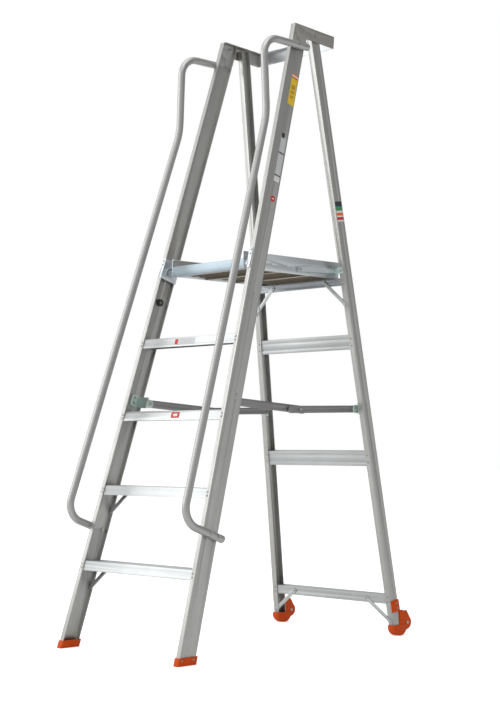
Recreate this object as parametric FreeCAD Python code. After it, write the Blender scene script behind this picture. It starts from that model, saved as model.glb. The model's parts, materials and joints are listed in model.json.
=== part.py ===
import FreeCAD, Part
import math
import os

# Platform step ladder. Millimetres. X across, -Y is the climbing side, +Z up.
# Each paired piece is built on the right (+X) and mirrored for the left.

V = FreeCAD.Vector

# front frame
overall_height = 2555.0        # floor to the top edge of the guard
front_floor_half = 357.5       # outer face of a front stile at the floor
front_top_half = 221.5         # outer face of a front stile at the top
front_run = 763.5              # how far the stile leans back over its height
stile_depth = 77.5
stile_flange = 20.0
stile_groove = 11.0
wall = 3.0

# rear frame
rear_floor_half = front_floor_half - 3.3   # outer face of a rear leg at the floor
rear_pivot_half = front_top_half - 2.3   # outer face of a rear leg at the top pivot
rear_floor_y = 1230.7          # front face of a rear leg at the floor
rear_pivot_y = front_run + 98.9          # front face of a rear leg at the top pivot
top_pivot_y = front_run + 124.5
top_pivot_z = overall_height - 34.0
leg_depth = 47.0
leg_flange = 26.0
cross_upper_high = 32.0
rung_high = 62.0
rung_lower_z = 716.0           # underside of the lower rung
rung_upper_z = 1207.0          # underside of the upper rung
cross_bottom_z = 134.0
cross_bottom_high = 38.0

# treads
tread_first = 342.0
tread_rise = 300.0
tread_count = 4
tread_lip = 38.0
tread_thick = 2.5
brace_wide = 16.0
brace_thick = 3.0

# platform
platform_half = 213.0
platform_hinge_z = 1528.0
hinge_in = 40.4                # hinge axis behind the stile's front edge
platform_under = 1508.0
deck_top = 1546.0
toe_board_top = 1578.0
sheet = 3.0
plank_count = 3
boss_radius = 17.0
hinge_pin_radius = 6.0
link_run = 205.0
link_front_z = 1530.0
link_rear_z = 1538.0
link_wide = 20.0
link_thick = 5.0

# guard, handrail, feet, wheels
guard_high = 54.0
guard_rear = front_run + 242.5
guard_flange = 25.0
guard_slope = -0.055
tube_radius = 15.0
tube_wall = 2.0
tube_top_z = overall_height - 98.0
tube_reach = 82.0              # handrail's straight top part in front of the stile
foot_high = 30.0
foot_wall = 3.5
foot_pocket = 31.0             # where a rear leg ends inside its foot
wheel_radius = 30.0
wheel_wide = 18.0
wheel_y = rear_floor_y + 80.3
wheel_z = 52.0

# spreaders: heights of the front, mid and rear pivots
spread_front_z = 975.0
spread_mid_z = 950.0
spread_rear_z = 957.0
bar_thick = 6.0
bar_wide = 32.0
bar_inset = 43.0               # outer face of the front bar inside the rear leg's

# fasteners
rivet_radius = 2.5
rivet_head = 4.5
running_gap = 0.05


def unit(a):
    return a * (1.0 / a.Length)


def mirrored(shape):
    return shape.mirror(V(0, 0, 0), V(1, 0, 0))


def fused(shapes):
    base = shapes[0]
    if len(shapes) > 1:
        base = base.fuse(shapes[1:])
    return base.removeSplitter()


def prism(points, sweep):
    return Part.Face(Part.makePolygon(points + [points[0]])).extrude(sweep)


def box(x0, x1, y0, y1, z0, z1):
    return Part.makeBox(x1 - x0, y1 - y0, z1 - z0, V(x0, y0, z0))


def rod(start, end, radius):
    return Part.makeCylinder(radius, (end - start).Length, start, end - start)


def rod_x(x0, x1, y, z, radius):
    return Part.makeCylinder(radius, x1 - x0, V(x0, y, z), V(1, 0, 0))


def plate_x(outline, x0, x1):
    """A plate across X from an outline of (y, z) pairs."""
    return prism([V(x0, y, z) for y, z in outline], V(x1 - x0, 0, 0))


def bar_x(a, b, wide, x0, x1):
    """A round-ended bar across X between two (y, z) points."""
    half = wide / 2.0
    run = unit(V(0, b[0] - a[0], b[1] - a[1]))
    side = V(0, -run.z, run.y) * half
    p, q = V(x0, a[0], a[1]), V(x0, b[0], b[1])
    edges = [Part.LineSegment(p + side, q + side).toShape(),
             Part.Arc(q + side, q + run * half, q - side).toShape(),
             Part.LineSegment(q - side, p - side).toShape(),
             Part.Arc(p - side, p - run * half, p + side).toShape()]
    return Part.Face(Part.Wire(edges)).extrude(V(x1 - x0, 0, 0))


class Rail:
    """A leaning, splayed channel on the right-hand side.

    s runs up along it, t across its depth toward the rear, w inward across its flanges.
    """

    def __init__(self, base, top, depth, flange):
        self.base = base
        self.length = (top - base).Length
        self.along = unit(top - base)
        self.back = unit(V(0, self.along.z, -self.along.y))
        inward = self.along.cross(self.back)
        self.inward = unit(inward if inward.x < 0 else inward * -1.0)
        self.depth = depth
        self.flange = flange

    def at(self, s, t, w=0.0):
        return self.base + self.along * s + self.back * t + self.inward * w

    def s_at(self, z, t=0.0, w=0.0):
        return (z - self.at(0, t, w).z) / self.along.z

    def s_t(self, y, z):
        """Place along and across the rail of a point of the side view."""
        off = V(0, y - self.base.y, z)
        run = V(0, self.along.y, self.along.z)
        return off.dot(run) / run.dot(run), off.dot(self.back)

    def front_y(self, z, t=0.0):
        s = self.s_at(z, t)
        return self.at(s, t).y

    def x_at(self, y, z, w=0.0):
        """X of the plane w inside the outer web at a point of the side view."""
        n, p = self.inward, self.base + self.inward * w
        return p.x - (n.y * (y - p.y) + n.z * (z - p.z)) / n.x

    def block(self, s0, s1, t0, t1, w0, w1):
        a = self.at(s0, t0, w0)
        across, deep = self.inward * (w1 - w0), self.back * (t1 - t0)
        return prism([a, a + deep, a + deep + across, a + across], self.along * (s1 - s0))

    def channel(self, s0, s1, thick):
        d, f = self.depth, self.flange
        outline = [(0, 0), (d, 0), (d, f), (d - thick, f), (d - thick, thick),
                   (thick, thick), (thick, f), (0, f)]
        return prism([self.at(s0, t, w) for t, w in outline], self.along * (s1 - s0))

    def web_plate(self, outline, w0, w1):
        """A plate parallel to the web from an outline of (y, z) pairs."""
        return prism([V(self.x_at(y, z, w0), y, z) for y, z in outline], self.inward * (w1 - w0))

    def outside(self, w):
        """Everything outboard of the plane w, for trimming."""
        return self.block(-300, self.length + 600, -1500, 1500, w - 600, w)


stile = Rail(V(front_floor_half, 0, 0), V(front_top_half, front_run, overall_height),
             stile_depth, stile_flange)
leg = Rail(V(rear_floor_half, rear_floor_y, 0), V(rear_pivot_half, rear_pivot_y, top_pivot_z),
           leg_depth, leg_flange)

# pivots placed on the frame
platform_hinge_y = stile.front_y(platform_hinge_z) + hinge_in
platform_front = platform_hinge_y - 24.0
platform_rear = leg.front_y(platform_under) + 27.6
link_rear_y = leg.front_y(link_rear_z) - 10.0
link_front_y = link_rear_y - link_run
spread_front = (stile.front_y(spread_front_z, stile_depth) + 15.7, spread_front_z)
spread_rear = (leg.front_y(spread_rear_z) - 5.9, spread_rear_z)
spread_mid = (spread_front[0] + (spread_rear[0] - spread_front[0]) * 0.5136, spread_mid_z)
bar_outer_x = leg.x_at(*spread_rear) - bar_inset
frame_wide = max(front_floor_half, rear_floor_half) + 100

nodes = {}
rivets = {"frame_rivets": [], "rear_rivets": [], "platform_screws": []}


def pair(name, shape):
    nodes[name + "_right"] = shape
    nodes[name + "_left"] = mirrored(shape)


def trimmed(shape, rail, w):
    """Cut a cross piece to length against the plane w of both rails."""
    tool = rail.outside(w)
    return shape.cut(tool).cut(mirrored(tool))


def rivet(center, axis, grip, tail=True):
    """center on the outer face, axis pointing out, grip the joined thickness."""
    axis = unit(axis)
    dome = Part.makeSphere(rivet_head * 1.25, center - axis * rivet_head * 0.75)
    dome = dome.common(rod(center, center + axis * rivet_head, rivet_head))
    parts = [rod(center - axis * grip, center, rivet_radius), dome]
    if tail:
        parts.append(rod(center - axis * (grip + 1.2), center - axis * grip, rivet_radius * 1.4))
    return fused(parts)


def fasten(bucket, center, axis, grip, right_names, tail=True):
    """A rivet and its mirror image, with the holes for both."""
    axis = unit(axis)
    one = rivet(center, axis, grip, tail)
    reach = grip + 0.6 if tail else grip
    bore = rod(center - axis * reach, center + axis * 0.6, rivet_radius)
    rivets[bucket] += [one, mirrored(one)]
    for name in right_names:
        nodes[name] = nodes[name].cut(bore)
        other = name.replace("_right", "_left")
        nodes[other] = nodes[other].cut(mirrored(bore))


def guard_top(y, drop=0.0):
    return overall_height + guard_slope * (y - front_run) - drop


# front stiles
body = stile.channel(-60, stile.s_at(overall_height) + 60, wall)
groove = [stile.at(-100, 25, -1), stile.at(-100, 25, 1.4), stile.at(-100, 25 + stile_groove, 0),
          stile.at(-100, 25 + stile_groove, -1)]
body = body.cut(prism(groove, stile.along * (stile.length + 450)))
body = body.common(plate_x([(-200, foot_wall), (400, foot_wall),
                            (front_run + 200, guard_top(front_run + 200, wall)),
                            (front_run - 100, guard_top(front_run - 100, wall)), (-200, 900)], 0, frame_wide))
pair("stile", body)

# treads: a flat serrated top with a hemmed lip against each flange
for i in range(tread_count):
    z_top = tread_first + tread_rise * i
    rise = unit(V(0, stile.along.y, stile.along.z))
    down = rise * (-tread_lip / rise.z)
    skin = tread_thick / stile.back.y
    step = rise * (tread_thick / rise.z)
    a = V(0, stile.front_y(z_top) + wall / stile.back.y, z_top)
    b = V(0, stile.front_y(z_top) + (stile_depth - wall) / stile.back.y, z_top)
    inner, hem = V(0, skin, 0), V(0, 10, 0)
    outline = [a, b, b + down, b + down - hem, b + down - hem + step, b + down - inner + step,
               b - inner - step, a + inner - step, a + down + inner + step,
               a + down + hem + step, a + down + hem, a + down]
    tread = prism([V(-400, p.y, p.z) for p in outline], V(800, 0, 0))
    pitch = (b.y - a.y) / 9.0
    for k in range(1, 9):
        y = a.y + pitch * k
        tread = tread.cut(box(-400, 400, y - 1.2, y + 1.2, z_top - 0.8, z_top + 1))
    name = "tread_%d" % (i + 1)
    nodes[name] = trimmed(tread, stile, wall)
    for t, axis, w in ((0.0, stile.back * -1.0, 13.0), (stile_depth, stile.back, 9.0)):
        mid = stile.s_at(z_top - tread_lip / 2.0, t, w)
        for ds in (-7.5, 6.5):
            fasten("frame_rivets", stile.at(mid + ds, t, w), axis, wall + tread_thick, ["stile_right", name])

# flat braces under the two lowest treads: riveted inside the tread's lip and the rear flange
nodes["tread_braces"] = Part.Compound([])
lip_t = stile_depth - wall - tread_thick
for i in range(2):
    z_lip = tread_first + tread_rise * i - tread_lip
    low = stile.at(stile.s_at(z_lip - 72, stile_depth - wall, 13), stile_depth - wall, 13)
    high = stile.at(stile.s_at(z_lip + 11, stile_depth - wall, 92), stile_depth - wall, 92)
    run = unit(high - low)
    side = unit(run.cross(stile.back)) * (brace_wide / 2.0)
    a, b = low - run * 8, high + run * 8
    strap = prism([a - side, a + side, b + side, b - side], stile.back * -(brace_thick + tread_thick))
    lap = box(-100, 400, -100, 900, z_lip - 0.5, z_lip + 60)
    strap = strap.cut(lap.common(stile.block(-100, stile.length, lip_t, stile_depth, -50, 400)))
    strap = strap.cut(stile.outside(wall))
    name = "tread_%d" % (i + 1)
    nodes[name] = nodes[name].cut(strap).cut(mirrored(strap))
    nodes["tread_braces"] = Part.makeCompound(nodes["tread_braces"].Solids + [strap, mirrored(strap)])
    fasten("frame_rivets", low + stile.back * wall, stile.back, wall + tread_thick + brace_thick,
           ["stile_right", "tread_braces"])
    fasten("frame_rivets", high, stile.back, tread_thick + brace_thick, [name, "tread_braces"])

# front feet
sleeve = stile.block(-80, 120, -foot_wall, stile_depth + 6, -foot_wall, stile_flange + foot_wall)
sleeve = sleeve.common(box(0, frame_wide, -200, 400, 0, foot_high))
hull = stile.block(-80, 200, 0, stile_depth, 0, stile_flange)
hull = hull.common(box(0, frame_wide, -200, 400, foot_wall, 300))
pair("front_foot", sleeve.cut(hull))
for t in (12, 66):
    center = stile.at(stile.s_at(20, t), t, -foot_wall)
    fasten("frame_rivets", center, stile.inward * -1.0, wall + foot_wall, ["stile_right", "front_foot_right"])

# top guard
gusset_z = overall_height - 79.0
outline = [(front_run, overall_height), (guard_rear, guard_top(guard_rear)),
           (guard_rear - 8, guard_top(guard_rear - 8, guard_high)),
           (stile.front_y(gusset_z + 24, stile_depth) + 2, guard_top(front_run + 56, guard_high)),
           (stile.front_y(gusset_z, stile_depth), gusset_z), (stile.front_y(gusset_z), gusset_z)]
web = stile.web_plate(outline, -wall, 0)
cap = plate_x([(front_run, overall_height), (guard_rear, guard_top(guard_rear)),
               (guard_rear, guard_top(guard_rear, wall)), (front_run, overall_height - wall)],
              front_top_half - guard_flange, front_top_half + 40)
side = fused([web, cap.cut(stile.outside(-wall))])
pair("guard_side", side)
rail_web = box(-300, 300, guard_rear - 12, guard_rear - 9, overall_height - 500,
               overall_height)
rail_lip = box(-300, 300, guard_rear - 12 - guard_flange, guard_rear - 9, overall_height - 500,
               overall_height)
near, far = guard_rear - 100, guard_rear + 100
under = plate_x([(near, guard_top(near, wall)), (far, guard_top(far, wall)),
                 (far, guard_top(far, guard_high)), (near, guard_top(near, guard_high))], -300, 300)
lip_only = plate_x([(near, guard_top(near, wall)), (far, guard_top(far, wall)),
                    (far, guard_top(far, 2 * wall)), (near, guard_top(near, 2 * wall))], -300, 300)
guard_rail = fused([rail_web.common(under), rail_lip.common(lip_only)])
nodes["guard_rear_rail"] = trimmed(guard_rail, stile, 0.0)
for ds, t in ((-38.2, 11.9), (-55.9, 40.2), (-2.6, 57.7), (-13.7, 6.7)):
    fasten("frame_rivets", stile.at(stile.length + ds, t, -wall), stile.inward * -1.0, 2 * wall, ["guard_side_right", "stile_right"])
bore_y = guard_rear - 24
fasten("frame_rivets", V(206, bore_y, guard_top(bore_y)), V(0, -guard_slope, 1.0), 2 * wall,
       ["guard_side_right", "guard_rear_rail"])

# handrails on the outside of the stiles
lean = V(0, stile.along.y, stile.along.z)
top_end = (stile.front_y(tube_top_z, stile_depth) + 2, tube_top_z)
low_end = (stile.front_y(452.0) + 92.9, 452.0)
low_bend = (stile.front_y(523.8) - 127.9, 523.8)
high_z = overall_height - 420.0
high_bend = (stile.front_y(high_z) - tube_reach, high_z)


def tube_point(y, z):
    return V(stile.x_at(y, z, -tube_radius), y, z)


def tube_path(points, radii):
    """A line with a rounded corner at each inner point."""
    edges, start = [], points[0]
    for k in range(1, len(points) - 1):
        p, r = points[k], radii[k - 1]
        back, ahead = unit(points[k - 1] - p), unit(points[k + 1] - p)
        turn = math.acos(max(-1.0, min(1.0, back.dot(ahead))))
        run = r / math.tan(turn / 2.0)
        a, b = p + back * run, p + ahead * run
        mid = p + unit(back + ahead) * (r / math.sin(turn / 2.0) - r)
        edges += [Part.LineSegment(start, a).toShape(), Part.Arc(a, mid, b).toShape()]
        start = b
    edges.append(Part.LineSegment(start, points[-1]).toShape())
    return Part.Wire(edges)


corners = [tube_point(*p) for p in (top_end, (high_bend[0], tube_top_z), high_bend, low_bend, low_end)]
path = tube_path(corners, [78.0, 260.0, 76.0])
aim = unit(corners[1] - corners[0])
ring = Part.Face(Part.Wire(Part.makeCircle(tube_radius, corners[0], aim)))
core = Part.Face(Part.Wire(Part.makeCircle(tube_radius - tube_wall, corners[0], aim)))
pair("handrail", path.makePipe(ring).cut(path.makePipe(core)))
plugs = []
for end, toward in ((corners[0], corners[1]), (corners[-1], corners[-2])):
    out = unit(end - toward)
    plug = fused([rod(end - out * 8, end, tube_radius - tube_wall), rod(end, end + out * 2.5, tube_radius)])
    plugs += [plug, mirrored(plug)]
nodes["handrail_plugs"] = Part.makeCompound(plugs)

bolts = []
for t, a, b in ((18, corners[0], corners[1]), (60, corners[0], corners[1]),
                (20, corners[-1], corners[-2]), (60, corners[-1], corners[-2])):
    run = unit(b - a)
    center = a + run * ((t - (a - stile.base).dot(stile.back)) / run.dot(stile.back))
    out = stile.inward * -1.0
    shank = rod(center - out * (tube_radius + wall), center + out * tube_radius, 4.0)
    head = rod(center + out * (tube_radius - 0.6), center + out * (tube_radius + 3.5), 6.5)
    nut = rod(center - out * (tube_radius + wall + 5), center - out * (tube_radius + wall), 7.0)
    bore = rod(center - out * (tube_radius + wall + 2), center + out * (tube_radius + 4), 4.0)
    seat = rod(center + out * (tube_radius - 0.6), center + out * (tube_radius + 9), 6.5)
    for name, tool in (("handrail", bore), ("handrail", seat), ("stile", bore)):
        nodes[name + "_right"] = nodes[name + "_right"].cut(tool)
        nodes[name + "_left"] = nodes[name + "_left"].cut(mirrored(tool))
    bolt = fused([shank, head, nut])
    bolts += [bolt, mirrored(bolt)]
nodes["handrail_bolts"] = Part.makeCompound(bolts)

# rubber buffers on the inner webs
s, t = stile.s_at(platform_under - 110, 42) + 4.5, 42.0
buffer = rod(stile.at(s, t, wall), stile.at(s, t, wall + 8), 15.0)
nodes["stop_buffers"] = Part.makeCompound([buffer, mirrored(buffer)])
fasten("frame_rivets", stile.at(s, t, wall + 8), stile.inward, wall + 8, ["stile_right", "stop_buffers"])

# collars closing the channel at the platform pivot
ps, pt = stile.s_t(platform_hinge_y, platform_hinge_z)
f = stile_flange
collar = fused([stile.block(ps - 35, ps + 50, -wall, stile_depth + wall, f, f + 4),
                stile.block(ps - 35, ps + 50, -wall, 0, 4, f + 4),
                stile.block(ps - 35, ps + 50, stile_depth, stile_depth + wall, 4, f + 4)])
pin_bore = rod_x(200, 300, platform_hinge_y, platform_hinge_z, hinge_pin_radius)
pair("pivot_collar", collar.cut(pin_bore.common(stile.block(ps - 60, ps + 60, -10, 90, f - 6, f + 10))))
for ds in (24, 42):
    for t, axis in ((-wall, stile.back * -1.0), (stile_depth + wall, stile.back)):
        fasten("frame_rivets", stile.at(ps + ds, t, 12), axis, 2 * wall,
               ["pivot_collar_right", "stile_right"])
seat_x = stile.x_at(platform_hinge_y, platform_hinge_z, f)
pin = fused([rod_x(platform_half + 4, seat_x + 6, platform_hinge_y, platform_hinge_z, hinge_pin_radius),
             rod_x(seat_x + 2, seat_x + 6, platform_hinge_y, platform_hinge_z, 10.0)])
nodes["platform_pins"] = Part.makeCompound([pin, mirrored(pin)])

# spreader brackets inside the front stiles
ay, az = spread_front
fs, ft = stile.s_t(ay, az)
inner_x = bar_outer_x - bar_thick
plate = fused([stile.block(fs - 22, fs + 24, 27, stile_depth - wall, wall, 2 * wall),
               stile.block(fs - 22, fs + 24, stile_depth - 2 * wall, stile_depth - wall, wall,
                           stile.x_at(ay, az) - inner_x + 7)])
ear_y = stile.front_y(az, stile_depth - 2 * wall) + 1
ears = []
for x0 in (bar_outer_x + 0.4, inner_x - 0.4 - 3.5):
    ear = bar_x((ear_y + 8, az), (ay, az), 34.0, x0, x0 + 3.5)
    ears.append(ear.common(stile.block(0, stile.length, stile_depth - 2 * wall, 300, -100, 200)))
bracket = fused([plate] + ears)
bracket = bracket.cut(nodes["stile_right"])
pin_hole = rod_x(inner_x - 20, bar_outer_x + 20, ay, az, 4.0)
pair("spreader_bracket_front", bracket.cut(pin_hole))
for ds in (-10, 15):
    fasten("frame_rivets", stile.at(fs + ds, 46, 0), stile.inward * -1.0, 2 * wall,
           ["stile_right", "spreader_bracket_front_right"])
pin = fused([rod_x(inner_x - 4.0, bar_outer_x + 4.0, ay, az, 4.0),
             rod_x(inner_x - 6.5, inner_x - 3.9, ay, az, 6.5),
             rod_x(bar_outer_x + 3.9, bar_outer_x + 6.5, ay, az, 6.5)])
nodes["spreader_pins"] = Part.makeCompound([pin, mirrored(pin)])

# spreader bars
by, bz = spread_mid
cy, cz = spread_rear
front_end = (by + (by - ay) * 0.06, bz + (bz - az) * 0.06)
front_bar = bar_x((ay, az), front_end, bar_wide, inner_x, bar_outer_x)
front_bar = front_bar.cut(rod_x(inner_x - 5, bar_outer_x + 5, ay, az, 4.0 + running_gap))
front_bar = front_bar.cut(rod_x(inner_x - 5, bar_outer_x + 5, by, bz, 4.0))
pair("spreader_front_bar", front_bar)
rear_x = bar_outer_x + 0.3
start = (by - (cy - by) * 0.16, bz - (cz - bz) * 0.16)
rear_bar = bar_x(start, (cy, cz), bar_wide - 2, rear_x, rear_x + bar_thick)
rear_bar = rear_bar.cut(rod_x(rear_x - 5, rear_x + 15, by, bz, 4.0 + running_gap))
rear_bar = rear_bar.cut(rod_x(rear_x - 5, rear_x + 15, cy, cz, 4.5))
pair("spreader_rear_bar", rear_bar)
pair("spreader_rivet", fused([rod_x(inner_x, rear_x + bar_thick + 0.2, by, bz, 4.0),
                              rod_x(inner_x - 2, inner_x, by, bz, 6.5),
                              rod_x(rear_x + bar_thick + 0.2, rear_x + bar_thick + 2.2, by, bz, 6.5)]))

# rear legs
pivot_s, pivot_t = leg.s_t(top_pivot_y, top_pivot_z)
body = leg.channel(-60, pivot_s + 15, wall)
body = body.common(box(0, frame_wide, 0, rear_floor_y + 300, foot_pocket,
                       overall_height + 300))
axle = rod_x(150, 300, top_pivot_y, top_pivot_z, 5.0 + running_gap)
pair("rear_leg", body.cut(axle))
hub_x = leg.x_at(top_pivot_y, top_pivot_z)
seat = rod_x(hub_x - 30, hub_x + 40, top_pivot_y, top_pivot_z, 5.0)
for end in ("right", "left"):
    tool = seat if end == "right" else mirrored(seat)
    nodes["guard_side_" + end] = nodes["guard_side_" + end].cut(tool)
bolt = fused([rod_x(hub_x - 11, hub_x + 10.5, top_pivot_y, top_pivot_z, 5.0),
              rod_x(hub_x + 0.9, hub_x + 4, top_pivot_y, top_pivot_z, 9.0),
              rod_x(hub_x + 4, hub_x + 10.5, top_pivot_y, top_pivot_z, 8.0),
              rod_x(hub_x - 11, hub_x - 4.2, top_pivot_y, top_pivot_z, 8.0)])
bolt = bolt.cut(nodes["guard_side_right"])
bolt = max(bolt.Solids, key=lambda part: part.Volume)
nodes["top_pivot_bolts"] = Part.makeCompound([bolt, mirrored(bolt)])


def rear_channel(z_low, high, deep, grooves=()):
    """A cross piece behind the front flanges of the rear legs, web to the front."""
    t0 = wall
    s0 = leg.s_at(z_low, t0)
    s1 = s0 + high
    k = 2.5
    outline = [(s0, t0), (s0, t0 + deep), (s0 + k, t0 + deep), (s0 + k, t0 + k), (s1 - k, t0 + k),
               (s1 - k, t0 + deep), (s1, t0 + deep), (s1, t0)]
    pts = [leg.at(s, t) for s, t in outline]
    piece = prism([V(-400, p.y, p.z) for p in pts], V(800, 0, 0))
    for a, b in grooves:
        g = [leg.at(s0 + a, t0 - 1), leg.at(s0 + b, t0 - 1),
             leg.at(s0 + b, t0 + 1.2), leg.at(s0 + a, t0 + 1.2)]
        piece = piece.cut(prism([V(-400, p.y, p.z) for p in g], V(800, 0, 0)))
    return trimmed(piece, leg, wall)


rung_deep = leg_depth - 2 * wall - 3.0
cross_deep = leg_depth - 2 * wall - 1.0
nodes["rear_rung_lower"] = rear_channel(rung_lower_z, rung_high, rung_deep, ((16, 22), (40, 46)))
nodes["rear_rung_upper"] = rear_channel(rung_upper_z, rung_high, rung_deep, ((16, 22), (40, 46)))
nodes["rear_cross_bottom"] = rear_channel(cross_bottom_z, cross_bottom_high, 30.0)
y_top = leg.front_y(platform_under, wall)
z_low = platform_under - cross_upper_high
y_low = leg.front_y(z_low, wall)
outline = [(y_top, platform_under), (y_top + cross_deep, platform_under),
           (y_top + cross_deep, platform_under - 12), (y_top + cross_deep - 2.5, platform_under - 12),
           (y_top + cross_deep - 2.5, platform_under - 2.5),
           (leg.front_y(platform_under - 2.5, wall + 2.5), platform_under - 2.5),
           (leg.front_y(z_low, wall + 2.5), z_low), (y_low, z_low)]
nodes["rear_cross_upper"] = trimmed(plate_x(outline, -400, 400), leg, wall)
for name, z_mid, spread in (("rear_rung_lower", rung_lower_z + 31, 15),
                            ("rear_rung_upper", rung_upper_z + 31, 15),
                            ("rear_cross_bottom", cross_bottom_z + 19, 10),
                            ("rear_cross_upper", platform_under - 17, 8)):
    mid = leg.s_at(z_mid)
    for ds in (-spread, spread):
        fasten("rear_rivets", leg.at(mid + ds, 0, 15), leg.back * -1.0, wall + 2.5, ["rear_leg_right", name])


def rear_brace(name, x_high, z_high, z_low, target):
    """A flat bar on the front faces, from a cross piece down and out to the leg."""
    low = leg.at(leg.s_at(z_low), 0, 12)
    high = V(x_high, leg.front_y(z_high, wall), z_high)
    low_in = V(low.x, leg.front_y(z_low, wall), low.z)
    run = unit(high - low_in)
    side = unit(run.cross(leg.back)) * (brace_wide / 2.0)
    a, b = low_in - run * 9, high + run * 9
    strap = prism([a - side, a + side, b + side, b - side], leg.back * -(wall + brace_thick))
    outer = leg.block(-100, leg.length, -10, 0, -50, 500)
    near = leg.block(-100, leg.length, 0, wall, -50, 500)
    flange = leg.block(-100, leg.length, -20, wall, -1, leg_flange + 1.5)
    front = strap.common(outer).cut(leg.block(-100, leg.length, -20, -brace_thick, -50, 500))
    strap = fused([front.common(flange), strap.common(near).cut(flange),
                   front.common(leg.block(-100, leg.length, -20, 0, leg_flange - 4, leg_flange + 4.5)),
                   strap.common(leg.block(-100, leg.length, -brace_thick, wall,
                                          leg_flange + 1.5, leg_flange + 4.5))])
    nodes[name] = Part.makeCompound([strap, mirrored(strap)])
    fasten("rear_rivets", leg.at(leg.s_at(z_low), -brace_thick, 12), leg.back * -1.0, wall + brace_thick,
           ["rear_leg_right", name])
    fasten("rear_rivets", V(x_high, leg.front_y(z_high, 0), z_high), leg.back * -1.0, wall + 2.5,
           [target, name])


rear_brace("rear_braces_bottom", rear_floor_half - 142, cross_bottom_z + 19, 60.0, "rear_cross_bottom")
rear_brace("rear_braces_upper", leg.x_at(0, 0) * 0.452, platform_under - 16, platform_under - 116,
           "rear_cross_upper")

# rear feet with a web strap and a wheel housing
fy = rear_floor_y
sole = [V(0, fy - 11.7, 45), V(0, fy - 11.7, 30), V(0, fy + 31.3, 0), V(0, fy + 72.3, 24),
        V(0, fy + 72.3, 45)]
edges = [Part.LineSegment(sole[0], sole[1]).toShape(), Part.Arc(sole[1], sole[2], sole[3]).toShape(),
         Part.LineSegment(sole[3], sole[4]).toShape(), Part.LineSegment(sole[4], sole[0]).toShape()]
x_out, x_in = rear_floor_half + 3.0, rear_floor_half - leg_flange - 4.5
shoe = Part.Face(Part.Wire(edges))
shoe.translate(V(x_in, 0, 0))
shoe = shoe.extrude(V(x_out - x_in, 0, 0))
strap_low, strap_high = leg.s_at(97), leg.s_at(146)
rear_wall = leg.block(leg.s_at(30), strap_high, leg_depth, leg_depth + foot_wall, -foot_wall, leg_flange)
strap = leg.block(strap_low, strap_high, 2, leg_depth + foot_wall, -foot_wall, 0)
mid_x = (x_out + x_in) / 2.0 + 1.0
cheeks = []
for x0 in (mid_x - wheel_wide / 2.0 - 4.4, mid_x + wheel_wide / 2.0 + 0.4):
    cheek = Part.makeCylinder(wheel_radius - 4, 4.0, V(x0, wheel_y, wheel_z), V(1, 0, 0))
    tail_plate = plate_x([(fy + 31, 20), (fy + 69, 20), (wheel_y + 19, 34), (wheel_y + 23, 62),
                          (wheel_y - 4, 104),
                          (wheel_y - 16, 104), (fy + 31, 104)], x0, x0 + 4)
    cheeks.append(fused([cheek, tail_plate]))
foot = fused([shoe, rear_wall, strap] + cheeks)
hull = leg.block(-60, 400, 0, leg_depth, 0, leg_flange)
hull = hull.common(box(0, frame_wide, fy - 200, fy + 200, foot_pocket, 400))
half_slot = wheel_wide / 2.0 + 0.4
rim = rod_x(mid_x - half_slot, mid_x + half_slot, wheel_y, wheel_z, wheel_radius + 2)
foot = foot.cut(hull).cut(rim).cut(rod_x(mid_x - 40, mid_x + 40, wheel_y, wheel_z, 4.0))
foot = max(foot.Solids, key=lambda part: part.Volume)
pair("rear_foot", foot)
for z_mid in (111, 131):
    fasten("rear_rivets", leg.at(leg.s_at(z_mid), leg_depth - 10, -foot_wall), leg.inward * -1.0, wall + foot_wall,
           ["rear_leg_right", "rear_foot_right"])
wheel = rod_x(mid_x - wheel_wide / 2.0, mid_x + wheel_wide / 2.0, wheel_y, wheel_z, wheel_radius)
edge = [e for e in wheel.Edges if abs(e.Length - 2 * math.pi * wheel_radius) < 1]
wheel = wheel.makeFillet(2.5, edge).cut(rod_x(mid_x - 40, mid_x + 40, wheel_y, wheel_z, 4.0 + running_gap))
pair("wheel", wheel)
half = wheel_wide / 2.0 + 4.4
axle = fused([rod_x(mid_x - half, mid_x + half, wheel_y, wheel_z, 4.0),
              rod_x(mid_x - half - 2, mid_x - half, wheel_y, wheel_z, 6.5),
              rod_x(mid_x + half, mid_x + half + 2, wheel_y, wheel_z, 6.5)])
nodes["wheel_axles"] = Part.makeCompound([axle, mirrored(axle)])

# spreader brackets inside the rear legs: one ear beside the bar end
rs, rt = leg.s_t(cy, cz)
ear_x = rear_x + bar_thick + 0.4
reach = leg.x_at(cy, cz) - ear_x
bracket = fused([leg.block(rs - 22, rs + 28, wall, leg_depth - 9, wall, 2 * wall),
                 leg.block(rs - 22, rs + 28, wall, 2 * wall, wall, reach + 6)])
bracket = bracket.common(box(ear_x, frame_wide, cy - 100, cy + 100, cz - 200, cz + 200))
ear = bar_x((leg.front_y(cz, 2 * wall) - 5, cz), (cy - 6, cz), 34.0, ear_x, ear_x + 3.4)
ear_foot = box(ear_x, ear_x + 3.4, cy - 6, leg.front_y(cz, 2 * wall) + 3, cz - 17, cz + 17)
ear = ear.fuse(ear_foot).removeSplitter()
ear = ear.common(leg.block(0, leg.length, -200, 2 * wall, -100, 200))
bracket = fused([bracket, ear]).cut(nodes["rear_leg_right"])
pair("spreader_bracket_rear", bracket)
for ds in (-9, 16):
    fasten("rear_rivets", leg.at(rs + ds, 24, 0), leg.inward * -1.0, 2 * wall,
           ["rear_leg_right", "spreader_bracket_rear_right"])

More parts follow.
